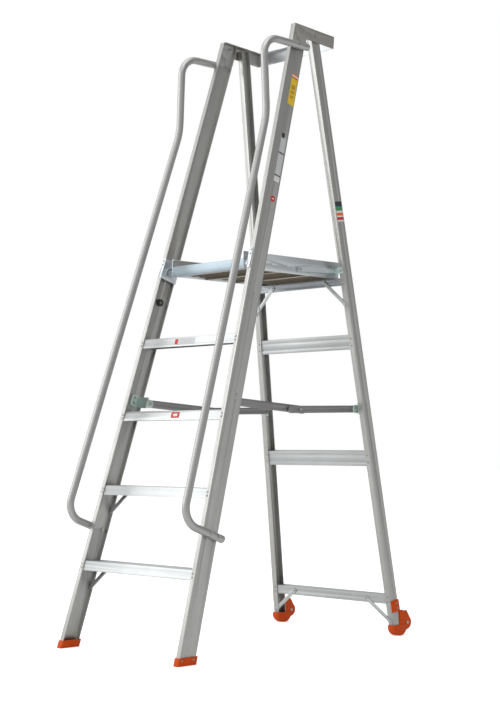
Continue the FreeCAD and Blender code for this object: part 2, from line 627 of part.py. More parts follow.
# brackets on the rear legs for the platform links
link_x = platform_half + 6.0
ear_x = link_x + link_thick + 0.4
ks, kt = leg.s_t(link_rear_y, link_rear_z)
reach = leg.x_at(link_rear_y, link_rear_z) - ear_x
plate = leg.block(ks - 12, ks + 12, -wall, 0, 4, reach + 6).common(
    box(ear_x, frame_wide, link_rear_y - 100, link_rear_y + 100, link_rear_z - 200, link_rear_z + 200))
ear = bar_x((link_rear_y, link_rear_z), (leg.front_y(link_rear_z) - 6, link_rear_z), 22.0, ear_x, ear_x + 3.5)
ear = ear.common(leg.block(0, leg.length, -200, 0, -100, 200))
bracket = fused([plate, ear])
fix = leg.at(ks, -wall, 15)
one = rivet(fix, leg.back * -1.0, 2 * wall)
bore = rod(fix - leg.back * -1.0 * (2 * wall + 0.6), fix + leg.back * -0.6, rivet_radius)
rivets["rear_rivets"] += [one, mirrored(one)]
bracket = bracket.cut(bore)
nodes["link_brackets"] = Part.makeCompound([bracket, mirrored(bracket)])
nodes["rear_leg_right"] = nodes["rear_leg_right"].cut(bore)
nodes["rear_leg_left"] = nodes["rear_leg_left"].cut(mirrored(bore))

# platform tray
side = fused([plate_x([(platform_front, platform_under), (platform_rear, platform_under),
                       (platform_rear, toe_board_top), (platform_front, toe_board_top)],
                      platform_half - sheet, platform_half),
              box(platform_half - 12, platform_half, platform_front, platform_rear,
                  toe_board_top - sheet, toe_board_top)])
pair("platform_side", side)
inner = platform_half - sheet
beam_back = platform_front + 24.0
beam = box(-inner, inner, platform_front, beam_back, platform_under, deck_top + 3)
beam = beam.cut(box(-inner - 1, inner + 1, platform_front + 2.5, beam_back - 2.5,
                    platform_under + 2.5, deck_top + 0.5))
nodes["platform_front_beam"] = beam
nodes["platform_rear_board"] = box(-inner, inner, platform_rear - sheet, platform_rear,
                                   platform_under, toe_board_top - sheet)
pitch = (platform_rear - sheet - beam_back) / plank_count
for i in range(plank_count):
    y0 = beam_back + pitch * i
    y1 = y0 + pitch
    parts = [box(-inner, inner, y0, y1, deck_top - 3, deck_top),
             box(-inner, inner, y0, y0 + 3, platform_under, deck_top),
             box(-inner, inner, y1 - 3, y1, platform_under, deck_top),
             box(-inner, inner, y0, y0 + 12, platform_under, platform_under + 2.5),
             box(-inner, inner, y1 - 12, y1, platform_under, platform_under + 2.5)]
    ports = [y0 + pitch * 0.25, y0 + pitch * 0.75]
    for y in ports:
        parts.append(box(-inner, inner, y - 6, y + 6, deck_top - 15, deck_top - 2))
        parts.append(box(-inner, inner, y - 1.25, y + 1.25, platform_under + 8, deck_top - 14))
    parts.append(box(-inner, inner, y0 + pitch / 2 - 1.25, y0 + pitch / 2 + 1.25,
                     platform_under + 8, deck_top - 2))
    plank = fused(parts)
    grooves = int(pitch // 12)
    for k in range(1, grooves):
        y = y0 + pitch * k / grooves
        plank = plank.cut(box(-inner - 1, inner + 1, y - 1.5, y + 1.5, deck_top - 0.8, deck_top + 1))
    name = "deck_plank_%d" % (i + 1)
    nodes[name] = plank
    for y in ports:
        fasten("platform_screws", V(platform_half, y, deck_top - 8.5), V(1, 0, 0), 18.0,
               ["platform_side_right", name], False)
boss = fused([rod_x(platform_half, seat_x - 5.6, platform_hinge_y, platform_hinge_z, boss_radius),
              rod_x(platform_half, platform_half + 4, platform_hinge_y, platform_hinge_z, boss_radius + 3)])
boss = boss.cut(rod_x(platform_half - 5, 300, platform_hinge_y, platform_hinge_z,
                      hinge_pin_radius + running_gap))
nodes["hinge_bosses"] = Part.makeCompound([boss, mirrored(boss)])
pin = fused([rod_x(platform_half - sheet - 3, link_x + link_thick + 0.2, link_front_y, link_front_z, 4.0),
             rod_x(platform_half, link_x - 0.2, link_front_y, link_front_z, 8.0),
             rod_x(link_x + link_thick + 0.2, link_x + link_thick + 2.6, link_front_y, link_front_z, 6.5)])
seat = rod_x(platform_half - sheet - 20, platform_half + 1, link_front_y, link_front_z, 4.0)
nodes["platform_side_right"] = nodes["platform_side_right"].cut(seat)
nodes["platform_side_left"] = nodes["platform_side_left"].cut(mirrored(seat))
for i in range(plank_count):
    name = "deck_plank_%d" % (i + 1)
    nodes[name] = nodes[name].cut(seat).cut(mirrored(seat))
nodes["link_pins"] = Part.makeCompound([pin, mirrored(pin)])
link = bar_x((link_front_y, link_front_z), (link_rear_y, link_rear_z), link_wide, link_x, link_x + link_thick)
link = link.cut(rod_x(link_x - 5, link_x + 15, link_front_y, link_front_z, 4.0 + running_gap))
link = link.cut(rod_x(link_x - 5, link_x + 15, link_rear_y, link_rear_z, 4.2))
pair("platform_link", link)

for name in rivets:
    nodes[name] = Part.makeCompound(rivets[name])

# the origin sits at the bottom centre of the whole ladder
low = min(shape.BoundBox.YMin for shape in nodes.values())
high = max(shape.BoundBox.YMax for shape in nodes.values())
shift = -(low + high) / 2.0

os.makedirs("parts", exist_ok=True)
for name in sorted(nodes):
    shape = nodes[name].copy()
    shape.translate(V(0, shift, 0))
    shape.exportStep("parts/%s.step" % name)
    print("%-30s solids %2d  volume %10.0f  valid %s" % (name, len(shape.Solids), shape.Volume, shape.isValid()))
print("nodes", len(nodes), "shift", round(shift, 3))
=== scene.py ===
import bpy
import json
import math
from mathutils import Matrix, Vector


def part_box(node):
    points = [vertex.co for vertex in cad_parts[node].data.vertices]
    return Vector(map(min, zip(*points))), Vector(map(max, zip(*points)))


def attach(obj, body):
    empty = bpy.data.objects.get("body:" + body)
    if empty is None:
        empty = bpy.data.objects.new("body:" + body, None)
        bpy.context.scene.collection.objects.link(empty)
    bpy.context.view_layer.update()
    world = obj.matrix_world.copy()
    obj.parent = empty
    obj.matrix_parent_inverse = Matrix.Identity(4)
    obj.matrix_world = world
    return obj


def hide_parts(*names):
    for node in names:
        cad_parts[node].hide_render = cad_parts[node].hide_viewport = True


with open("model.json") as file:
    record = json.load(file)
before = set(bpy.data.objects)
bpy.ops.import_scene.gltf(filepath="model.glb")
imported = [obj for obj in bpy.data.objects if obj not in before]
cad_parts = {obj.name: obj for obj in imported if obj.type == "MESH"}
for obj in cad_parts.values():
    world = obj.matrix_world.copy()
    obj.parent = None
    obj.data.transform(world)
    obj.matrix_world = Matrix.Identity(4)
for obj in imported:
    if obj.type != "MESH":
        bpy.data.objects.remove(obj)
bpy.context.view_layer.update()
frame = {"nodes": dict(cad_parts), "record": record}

print("frame loaded:", len(frame["nodes"]), "nodes")


def deselectAll():
    if bpy.context.object and bpy.context.object.mode != "OBJECT":
        bpy.ops.object.mode_set(mode="OBJECT")
    bpy.ops.object.select_all(action="DESELECT")


def makeActive(piece):
    deselectAll()
    piece.select_set(True)
    bpy.context.view_layer.objects.active = piece


studio = {
    "floorSize": 60.0,
    "floorColor": (0.95, 0.95, 0.948),
    "floorGlow": 0.50,
    "floorCuts": 6,
    "floorRough": 0.7,
    "floorGrain": 0.6,
    "floorBump": 0.02,
    "worldColor": (1.0, 1.0, 1.0),
    "worldStrength": 0.98,
    "worldShade": 0.30,
    "shadeFrom": -1.2,
    "shadeTo": 1.3,
    "seenStrength": 1.0,
    "keyPlace": (-3.6, -4.6, 3.4),
    "keySize": 4.6,
    "keyPower": 95.0,
    "topPlace": (0.4, -0.8, 5.6),
    "topSize": 4.0,
    "topPower": 60.0,
    "fillPlace": (4.6, 2.4, 2.2),
    "fillSize": 3.4,
    "fillPower": 12.0,
}


def areaLight(name, place, size, power, aim=(0.0, 0.0, 1.2)):
    bpy.ops.object.light_add(type="AREA", location=place)
    lamp = bpy.context.object
    lamp.name = name
    lamp.data.shape = "SQUARE"
    lamp.data.size = size
    lamp.data.energy = power
    lamp.rotation_mode = "QUATERNION"
    lamp.rotation_quaternion = (Vector(aim) - Vector(place)).to_track_quat("-Z", "Y")


deselectAll()
areaLight("keyLight", studio["keyPlace"], studio["keySize"], studio["keyPower"])
areaLight("topLight", studio["topPlace"], studio["topSize"], studio["topPower"])
areaLight("fillLight", studio["fillPlace"], studio["fillSize"], studio["fillPower"])

world = bpy.data.worlds.new("studioWorld")
bpy.context.scene.world = world
world.use_nodes = True
worldNodes, worldLinks = world.node_tree.nodes, world.node_tree.links
worldNodes.clear()
worldOut = worldNodes.new("ShaderNodeOutputWorld")
seen = worldNodes.new("ShaderNodeBackground")
seen.inputs["Color"].default_value = (*studio["worldColor"], 1)
seen.inputs["Strength"].default_value = studio["seenStrength"]
glow = worldNodes.new("ShaderNodeBackground")
glow.inputs["Color"].default_value = (*studio["worldColor"], 1)
# the studio is brightest in front on the left and falls off behind on the right
compass = worldNodes.new("ShaderNodeTexCoord")
split = worldNodes.new("ShaderNodeSeparateXYZ")
worldLinks.new(compass.outputs["Generated"], split.inputs["Vector"])
diagonal = worldNodes.new("ShaderNodeMath")
diagonal.operation = "ADD"
worldLinks.new(split.outputs["X"], diagonal.inputs[0])
worldLinks.new(split.outputs["Y"], diagonal.inputs[1])
falloff = worldNodes.new("ShaderNodeMapRange")
falloff.inputs["From Min"].default_value = studio["shadeFrom"]
falloff.inputs["From Max"].default_value = studio["shadeTo"]
falloff.inputs["To Min"].default_value = studio["worldStrength"]
falloff.inputs["To Max"].default_value = studio["worldShade"]
worldLinks.new(diagonal.outputs[0], falloff.inputs["Value"])
worldLinks.new(falloff.outputs["Result"], glow.inputs["Strength"])
rays = worldNodes.new("ShaderNodeLightPath")
choose = worldNodes.new("ShaderNodeMixShader")
worldLinks.new(rays.outputs["Is Camera Ray"], choose.inputs[0])
worldLinks.new(glow.outputs[0], choose.inputs[1])
worldLinks.new(seen.outputs[0], choose.inputs[2])
worldLinks.new(choose.outputs[0], worldOut.inputs["Surface"])

cameraSetup = {
    "place": (4.430, -4.3289, 0.815),
    "heading": 45.33,
    "pitch": 3.02,
    "lens": 73.72,
    "sensor": 36.0,
    "farClip": 200.0,
}
bpy.ops.object.camera_add(location=cameraSetup["place"])
camera = bpy.context.object
camera.name = "photoCamera"
camera.data.lens = cameraSetup["lens"]
camera.data.sensor_width = cameraSetup["sensor"]
camera.data.sensor_fit = "AUTO"
camera.data.clip_end = cameraSetup["farClip"]
turn = math.radians(cameraSetup["heading"])
camera.rotation_euler = (math.radians(90 + cameraSetup["pitch"]), 0, turn)
bpy.context.scene.camera = camera
bpy.context.scene.view_settings.view_transform = "Standard"

bpy.ops.mesh.primitive_plane_add(size=studio["floorSize"], location=(0, 0, 0))
floor = bpy.context.object
floor.name = "studioFloor"
bpy.ops.object.mode_set(mode="EDIT")
bpy.ops.mesh.subdivide(number_cuts=studio["floorCuts"])
bpy.ops.object.mode_set(mode="OBJECT")
print("studio set")


def newGroup(name, inputs, outputs):
    group = bpy.data.node_groups.new(name, "ShaderNodeTree")
    for label, kind, value in inputs:
        socket = group.interface.new_socket(label, in_out="INPUT", socket_type=kind)
        if value is not None:
            socket.default_value = value
    for label, kind in outputs:
        group.interface.new_socket(label, in_out="OUTPUT", socket_type=kind)
    start, end = group.nodes.new("NodeGroupInput"), group.nodes.new("NodeGroupOutput")
    return group, start, end


def noiseNode(tree, scale, detail=3.0, rough=0.55):
    node = tree.nodes.new("ShaderNodeTexNoise")
    node.inputs["Scale"].default_value = scale
    node.inputs["Detail"].default_value = detail
    node.inputs["Roughness"].default_value = rough
    return node


def rangeNode(tree, source, low, high, outLow, outHigh):
    node = tree.nodes.new("ShaderNodeMapRange")
    node.inputs["From Min"].default_value = low
    node.inputs["From Max"].default_value = high
    node.inputs["To Min"].default_value = outLow
    node.inputs["To Max"].default_value = outHigh
    tree.links.new(source, node.inputs["Value"])
    return node.outputs["Result"]


def mathNode(tree, kind, a, b):
    node = tree.nodes.new("ShaderNodeMath")
    node.operation = kind
    for k, value in enumerate((a, b)):
        if isinstance(value, (int, float)):
            node.inputs[k].default_value = value
        else:
            tree.links.new(value, node.inputs[k])
    return node.outputs[0]


def stretched(tree, vector, scale):
    node = tree.nodes.new("ShaderNodeMapping")
    node.inputs["Scale"].default_value = scale
    tree.links.new(vector, node.inputs["Vector"])
    return node.outputs["Vector"]


# drawn aluminium: die lines along Z of the vector, cloudy oxide, small handling marks
grainLook = {
    "fineStretch": (420, 420, 2.2),
    "wideStretch": (90, 90, 0.7),
    "cloudScale": 7.0,
    "cloudRough": -0.5,
    "markStretch": (160, 160, 34),
    "markRange": (0.66, 0.74),
    "markShade": 0.10,
    "markRough": 0.12,
    "markHeight": 0.25,
    "bump": 0.25,
}
bumpDistance = 0.0002
grain, grainIn, grainOut = newGroup(
    "drawnMetal",
    [("Vector", "NodeSocketVector", None), ("Tone", "NodeSocketColor", (0.7, 0.7, 0.7, 1)),
     ("Lines", "NodeSocketFloat", 0.5), ("Cloud", "NodeSocketFloat", 0.5),
     ("Rough", "NodeSocketFloat", 0.38)],
    [("Color", "NodeSocketColor"), ("Roughness", "NodeSocketFloat"), ("Height", "NodeSocketFloat")])
grainVector = grainIn.outputs["Vector"]
fineLines = noiseNode(grain, 1.0, 2.0, 0.6)
grain.links.new(stretched(grain, grainVector, grainLook["fineStretch"]), fineLines.inputs["Vector"])
wideLines = noiseNode(grain, 1.0, 2.0, 0.5)
grain.links.new(stretched(grain, grainVector, grainLook["wideStretch"]), wideLines.inputs["Vector"])
cloud = noiseNode(grain, grainLook["cloudScale"], 4.0, 0.6)
grain.links.new(grainVector, cloud.inputs["Vector"])
marks = noiseNode(grain, 1.0, 3.0, 0.7)
grain.links.new(stretched(grain, grainVector, grainLook["markStretch"]), marks.inputs["Vector"])
markMask = rangeNode(grain, marks.outputs["Fac"], *grainLook["markRange"], 0.0, 1.0)
lineSum = mathNode(grain, "ADD", mathNode(grain, "MULTIPLY", fineLines.outputs["Fac"], 0.5),
                   mathNode(grain, "MULTIPLY", wideLines.outputs["Fac"], 0.5))
lineShade = mathNode(grain, "MULTIPLY", mathNode(grain, "SUBTRACT", lineSum, 0.5), grainIn.outputs["Lines"])
cloudShade = mathNode(grain, "MULTIPLY", mathNode(grain, "SUBTRACT", cloud.outputs["Fac"], 0.5),
                      grainIn.outputs["Cloud"])
shade = mathNode(grain, "ADD", mathNode(grain, "ADD", lineShade, cloudShade), 1.0)
shade = mathNode(grain, "SUBTRACT", shade, mathNode(grain, "MULTIPLY", markMask, grainLook["markShade"]))
tint = grain.nodes.new("ShaderNodeMix")
tint.data_type = "RGBA"
tint.blend_type = "MULTIPLY"
tint.inputs["Factor"].default_value = 1.0
grain.links.new(grainIn.outputs["Tone"], tint.inputs["A"])
gray = grain.nodes.new("ShaderNodeCombineColor")
for channel in ("Red", "Green", "Blue"):
    grain.links.new(shade, gray.inputs[channel])
grain.links.new(gray.outputs["Color"], tint.inputs["B"])
grain.links.new(tint.outputs["Result"], grainOut.inputs["Color"])
roughSum = mathNode(grain, "ADD", grainIn.outputs["Rough"],
                    mathNode(grain, "MULTIPLY", cloudShade, grainLook["cloudRough"]))
roughSum = mathNode(grain, "ADD", roughSum, mathNode(grain, "MULTIPLY", markMask, grainLook["markRough"]))
grain.links.new(roughSum, grainOut.inputs["Roughness"])
markDip = mathNode(grain, "MULTIPLY", markMask, grainLook["markHeight"])
grain.links.new(mathNode(grain, "SUBTRACT", lineSum, markDip), grainOut.inputs["Height"])

# moulded plastic and rubber: fine pebble, faint colour change, scuffs
mouldLook = {
    "pebbleScale": 1400.0,
    "patchScale": 38.0,
    "patchTone": 0.35,
    "scuffStretch": (60, 240, 240),
    "scuffRange": (0.6, 0.72),
    "scuffColor": (0.45, 0.42, 0.38, 1),
    "scuffTone": 0.25,
    "scuffRough": 0.2,
    "scuffHeight": 0.6,
    "shine": 0.4,
    "bump": 0.3,
}
mould, mouldIn, mouldOut = newGroup(
    "mouldedSkin",
    [("Vector", "NodeSocketVector", None), ("Tone", "NodeSocketColor", (0.7, 0.2, 0.05, 1)),
     ("Scuffs", "NodeSocketFloat", 0.3), ("Rough", "NodeSocketFloat", 0.5)],
    [("Color", "NodeSocketColor"), ("Roughness", "NodeSocketFloat"), ("Height", "NodeSocketFloat")])
pebble = noiseNode(mould, mouldLook["pebbleScale"], 2.0, 0.5)
mould.links.new(mouldIn.outputs["Vector"], pebble.inputs["Vector"])
patch = noiseNode(mould, mouldLook["patchScale"], 4.0, 0.6)
mould.links.new(mouldIn.outputs["Vector"], patch.inputs["Vector"])
scuff = noiseNode(mould, 1.0, 4.0, 0.7)
mould.links.new(stretched(mould, mouldIn.outputs["Vector"], mouldLook["scuffStretch"]),
                scuff.inputs["Vector"])
scuffSpots = rangeNode(mould, scuff.outputs["Fac"], *mouldLook["scuffRange"], 0.0, 1.0)
scuffMask = mathNode(mould, "MULTIPLY", scuffSpots, mouldIn.outputs["Scuffs"])
patchShade = mathNode(mould, "SUBTRACT", patch.outputs["Fac"], 0.5)
tone = mathNode(mould, "ADD", mathNode(mould, "MULTIPLY", patchShade, mouldLook["patchTone"]), 1.0)
shadeMix = mould.nodes.new("ShaderNodeMix")
shadeMix.data_type = "RGBA"
shadeMix.blend_type = "MULTIPLY"
shadeMix.inputs["Factor"].default_value = 1.0
mould.links.new(mouldIn.outputs["Tone"], shadeMix.inputs["A"])
toneGray = mould.nodes.new("ShaderNodeCombineColor")
for channel in ("Red", "Green", "Blue"):
    mould.links.new(tone, toneGray.inputs[channel])
mould.links.new(toneGray.outputs["Color"], shadeMix.inputs["B"])
scuffMix = mould.nodes.new("ShaderNodeMix")
scuffMix.data_type = "RGBA"
mould.links.new(mathNode(mould, "MULTIPLY", scuffMask, mouldLook["scuffTone"]), scuffMix.inputs["Factor"])
mould.links.new(shadeMix.outputs["Result"], scuffMix.inputs["A"])
scuffMix.inputs["B"].default_value = mouldLook["scuffColor"]
mould.links.new(scuffMix.outputs["Result"], mouldOut.inputs["Color"])
scuffRough = mathNode(mould, "MULTIPLY", scuffMask, mouldLook["scuffRough"])
mould.links.new(mathNode(mould, "ADD", mouldIn.outputs["Rough"], scuffRough), mouldOut.inputs["Roughness"])
scuffDip = mathNode(mould, "MULTIPLY", scuffMask, mouldLook["scuffHeight"])
mould.links.new(mathNode(mould, "SUBTRACT", pebble.outputs["Fac"], scuffDip), mouldOut.inputs["Height"])


def baseMaterial(name, metallic):
    material = bpy.data.materials.new(name)
    material.use_nodes = True
    tree = material.node_tree
    tree.nodes.clear()
    out = tree.nodes.new("ShaderNodeOutputMaterial")
    shader = tree.nodes.new("ShaderNodeBsdfPrincipled")
    shader.inputs["Metallic"].default_value = metallic
    tree.links.new(shader.outputs[0], out.inputs["Surface"])
    coords = tree.nodes.new("ShaderNodeTexCoord")
    place = tree.nodes.new("ShaderNodeMapping")
    tree.links.new(coords.outputs["Object"], place.inputs["Vector"])
    bump = tree.nodes.new("ShaderNodeBump")
    tree.links.new(bump.outputs["Normal"], shader.inputs["Normal"])
    return material, tree, shader, place, bump


def drawnMetal(name, values, along=(0.0, 0.0, 0.0)):
    material, tree, shader, place, bump = baseMaterial(name, 1.0)
    place.inputs["Rotation"].default_value = along
    effect = tree.nodes.new("ShaderNodeGroup")
    effect.node_tree = grain
    effect.inputs["Tone"].default_value = (*values["tone"], 1)
    effect.inputs["Lines"].default_value = values["lines"]
    effect.inputs["Cloud"].default_value = values["cloud"]
    effect.inputs["Rough"].default_value = values["rough"]
    tree.links.new(place.outputs["Vector"], effect.inputs["Vector"])
    tree.links.new(effect.outputs["Color"], shader.inputs["Base Color"])
    tree.links.new(effect.outputs["Roughness"], shader.inputs["Roughness"])
    tree.links.new(effect.outputs["Height"], bump.inputs["Height"])
    bump.inputs["Strength"].default_value = grainLook["bump"]
    bump.inputs["Distance"].default_value = bumpDistance
    return material


def ribbedGrip(name, values, along):
    material = drawnMetal(name, values, along)
    tree = material.node_tree
    bump = next(n for n in tree.nodes if n.bl_idname == "ShaderNodeBump")
    place = next(n for n in tree.nodes if n.bl_idname == "ShaderNodeMapping")
    effect = next(n for n in tree.nodes if n.bl_idname == "ShaderNodeGroup")
    split = tree.nodes.new("ShaderNodeSeparateXYZ")
    tree.links.new(place.outputs["Vector"], split.inputs["Vector"])
    phase = mathNode(tree, "MULTIPLY", split.outputs["Z"], values["ribs"] * math.tau)
    wave = mathNode(tree, "SINE", phase, 0.0)
    ribs = mathNode(tree, "MULTIPLY", wave, values["ribDepth"])
    height = mathNode(tree, "ADD", effect.outputs["Height"], ribs)
    tree.links.new(height, bump.inputs["Height"])
    # painted shade: the colour darkens towards the rib troughs, as if shade fell in the grooves
    paintedGrooveShade = rangeNode(tree, wave, -1.0, 1.0, values["ribGrooveShade"], 1.0)
    mix = tree.nodes.new("ShaderNodeMix")
    mix.data_type = "RGBA"
    mix.blend_type = "MULTIPLY"
    mix.inputs["Factor"].default_value = 1.0
    paintedGrooveGray = tree.nodes.new("ShaderNodeCombineColor")
    for channel in ("Red", "Green", "Blue"):
        tree.links.new(paintedGrooveShade, paintedGrooveGray.inputs[channel])
    tree.links.new(effect.outputs["Color"], mix.inputs["A"])
    tree.links.new(paintedGrooveGray.outputs["Color"], mix.inputs["B"])
    shader = next(n for n in tree.nodes if n.bl_idname == "ShaderNodeBsdfPrincipled")
    tree.links.new(mix.outputs["Result"], shader.inputs["Base Color"])
    return material


def mouldedSkin(name, values):
    material, tree, shader, place, bump = baseMaterial(name, 0.0)
    effect = tree.nodes.new("ShaderNodeGroup")
    effect.node_tree = mould
    effect.inputs["Tone"].default_value = (*values["tone"], 1)
    effect.inputs["Scuffs"].default_value = values["scuffs"]
    effect.inputs["Rough"].default_value = values["rough"]
    tree.links.new(place.outputs["Vector"], effect.inputs["Vector"])
    tree.links.new(effect.outputs["Color"], shader.inputs["Base Color"])
    tree.links.new(effect.outputs["Roughness"], shader.inputs["Roughness"])
    tree.links.new(effect.outputs["Height"], bump.inputs["Height"])
    shader.inputs["Specular IOR Level"].default_value = values.get("shine", mouldLook["shine"])
    bump.inputs["Strength"].default_value = mouldLook["bump"]
    bump.inputs["Distance"].default_value = bumpDistance
    return material


def alongTurn(direction):
    # turn that brings a length direction onto Z, so the lines run along the piece
    return Vector(direction).rotation_difference(Vector((0, 0, 1))).to_euler()


floorMaterial, floorTree, floorShader, floorPlace, floorBump = baseMaterial("paleFloor", 0.0)
floorShader.inputs["Base Color"].default_value = (*studio["floorColor"], 1)
floorShader.inputs["Roughness"].default_value = studio["floorRough"]
floorShader.inputs["Emission Color"].default_value = (1.0, 1.0, 1.0, 1)
floorRays = floorTree.nodes.new("ShaderNodeLightPath")  # the glow is only seen, it lights nothing
floorTree.links.new(mathNode(floorTree, "MULTIPLY", floorRays.outputs["Is Camera Ray"], studio["floorGlow"]),
                    floorShader.inputs["Emission Strength"])
floorNoise = noiseNode(floorTree, studio["floorGrain"])
floorTree.links.new(floorPlace.outputs["Vector"], floorNoise.inputs["Vector"])
floorTree.links.new(floorNoise.outputs["Fac"], floorBump.inputs["Height"])
floorBump.inputs["Strength"].default_value = studio["floorBump"]
floor.data.materials.append(floorMaterial)

finishes = {
    "stile": {"tone": (0.50, 0.50, 0.485), "lines": 0.34, "cloud": 0.20, "rough": 0.42},
    "leg": {"tone": (0.50, 0.50, 0.485), "lines": 0.32, "cloud": 0.20, "rough": 0.42},
    "tread": {"tone": (0.52, 0.535, 0.535), "lines": 0.22, "cloud": 0.14, "rough": 0.40},
    "crossPiece": {"tone": (0.52, 0.535, 0.535), "lines": 0.22, "cloud": 0.18, "rough": 0.42},
    # the upper rear cross member's darker blue-grey tone is painted shade: the member lies in the shadow under
    # the platform
    "shadedCrossUpper": {"tone": (0.36, 0.385, 0.41), "lines": 0.22, "cloud": 0.18, "rough": 0.42},
    # the handrail's rib shade value sets how dark the painted shade in the rib grooves gets
    "handrail": {"tone": (0.54, 0.545, 0.535), "lines": 0.18, "cloud": 0.14, "rough": 0.44,
                 "ribs": 167.0, "ribDepth": 0.8, "ribGrooveShade": 0.74},
    "guard": {"tone": (0.46, 0.45, 0.425), "lines": 0.24, "cloud": 0.16, "rough": 0.45},
    "guardRear": {"tone": (0.66, 0.68, 0.70), "lines": 0.20, "cloud": 0.14, "rough": 0.40},
    "toeBoard": {"tone": (0.70, 0.74, 0.765), "lines": 0.18, "cloud": 0.12, "rough": 0.36},
    "fascia": {"tone": (0.36, 0.43, 0.475), "lines": 0.20, "cloud": 0.16, "rough": 0.38},
    # the deck's dark brownish tone is painted shade: the planks' underside in the platform's own shadow
    "deck": {"tone": (0.44, 0.39, 0.32), "lines": 0.25, "cloud": 0.22, "rough": 0.42},
    "spreader": {"tone": (0.30, 0.30, 0.30), "lines": 0.25, "cloud": 0.22, "rough": 0.45},
    "zinc": {"tone": (0.58, 0.70, 0.655), "lines": 0.08, "cloud": 0.45, "rough": 0.34},
    "paleSteel": {"tone": (0.62, 0.66, 0.69), "lines": 0.08, "cloud": 0.30, "rough": 0.34},
    "steel": {"tone": (0.48, 0.48, 0.47), "lines": 0.08, "cloud": 0.25, "rough": 0.32},
    "rivet": {"tone": (0.34, 0.34, 0.33), "lines": 0.06, "cloud": 0.25, "rough": 0.38},
}
mouldings = {
    "orangeFoot": {"tone": (0.62, 0.070, 0.002), "scuffs": 0.22, "rough": 0.42, "shine": 0.18},
    "wheel": {"tone": (0.36, 0.062, 0.020), "scuffs": 0.40, "rough": 0.50},
    "tyre": {"tone": (0.20, 0.040, 0.016), "scuffs": 0.60, "rough": 0.66},
    "buffer": {"tone": (0.035, 0.035, 0.035), "scuffs": 0.20, "rough": 0.55},
    "plug": {"tone": (0.42, 0.42, 0.41), "scuffs": 0.20, "rough": 0.46},
    "stickerSilver": {"tone": (0.56, 0.57, 0.58), "scuffs": 0.15, "rough": 0.34},
    "stickerYellow": {"tone": (0.78, 0.52, 0.03), "scuffs": 0.20, "rough": 0.40},
    "stickerOchre": {"tone": (0.50, 0.30, 0.015), "scuffs": 0.20, "rough": 0.42},
    "stickerOrange": {"tone": (0.80, 0.16, 0.03), "scuffs": 0.15, "rough": 0.40},
    "stickerRed": {"tone": (0.55, 0.03, 0.025), "scuffs": 0.15, "rough": 0.40},
    "stickerGreen": {"tone": (0.05, 0.26, 0.10), "scuffs": 0.15, "rough": 0.40},
    "stickerTeal": {"tone": (0.03, 0.30, 0.33), "scuffs": 0.15, "rough": 0.40},
    "stickerPale": {"tone": (0.74, 0.74, 0.72), "scuffs": 0.15, "rough": 0.40},
    "stickerDark": {"tone": (0.035, 0.037, 0.042), "scuffs": 0.20, "rough": 0.42},
}

leans = {"stile": (-0.0532, 0.2988, 1.0), "leg": (-0.05355, -0.1461, 1.0)}  # upwards, on the right


def leanTurn(railName, sign):
    sideways, back, up = leans[railName]
    return alongTurn((sideways * sign, back, up))


acrossTurn = alongTurn((1, 0, 0))
depthTurn = alongTurn((0, 1, 0))

nodes = frame["nodes"]
dressed = set()


def dress(nodeName, material):
    node = nodes[nodeName]
    node.data.materials.clear()
    node.data.materials.append(material)
    dressed.add(nodeName)


for side, sign in (("right", 1), ("left", -1)):
    stileTurn = leanTurn("stile", sign)
    dress("stile_" + side, drawnMetal("stileMetal_" + side, finishes["stile"], stileTurn))
    dress("rear_leg_" + side, drawnMetal("legMetal_" + side, finishes["leg"], leanTurn("leg", sign)))
    dress("handrail_" + side, ribbedGrip("handrailMetal_" + side, finishes["handrail"], stileTurn))
acrossTread = drawnMetal("treadMetal", finishes["tread"], acrossTurn)
acrossPiece = drawnMetal("crossMetal", finishes["crossPiece"], acrossTurn)
guardMetal = drawnMetal("guardMetal", finishes["guard"], depthTurn)
guardRearMetal = drawnMetal("guardRearMetal", finishes["guardRear"], acrossTurn)
# a darker copy of the cross aluminium, with painted shade for the member under the platform
shadedCrossUpper = drawnMetal("crossUpperMetal", finishes["shadedCrossUpper"], acrossTurn)
fasciaMetal = drawnMetal("fasciaMetal", finishes["fascia"], acrossTurn)
paleSteel = drawnMetal("paleSteel", finishes["paleSteel"])
toeMetal = drawnMetal("toeBoardMetal", finishes["toeBoard"], depthTurn)
toeAcross = drawnMetal("toeBoardAcross", finishes["toeBoard"], acrossTurn)
# deck material whose tone carries painted shade of the underside
shadedDeckMetal = drawnMetal("shadedDeckMetal", finishes["deck"], acrossTurn)
spreaderMetal = drawnMetal("spreaderMetal", finishes["spreader"], depthTurn)
zincPlate = drawnMetal("zincPlate", finishes["zinc"])
steelFastener = drawnMetal("steelFastener", finishes["steel"])
rivetMetal = drawnMetal("rivetMetal", finishes["rivet"])
orangeFoot = mouldedSkin("orangeFoot", mouldings["orangeFoot"])
tyreRubber = mouldedSkin("tyreRubber", mouldings["tyre"])
wheelPlastic = mouldedSkin("wheelPlastic", mouldings["wheel"])
bufferRubber = mouldedSkin("bufferRubber", mouldings["buffer"])
plugPlastic = mouldedSkin("plugPlastic", mouldings["plug"])

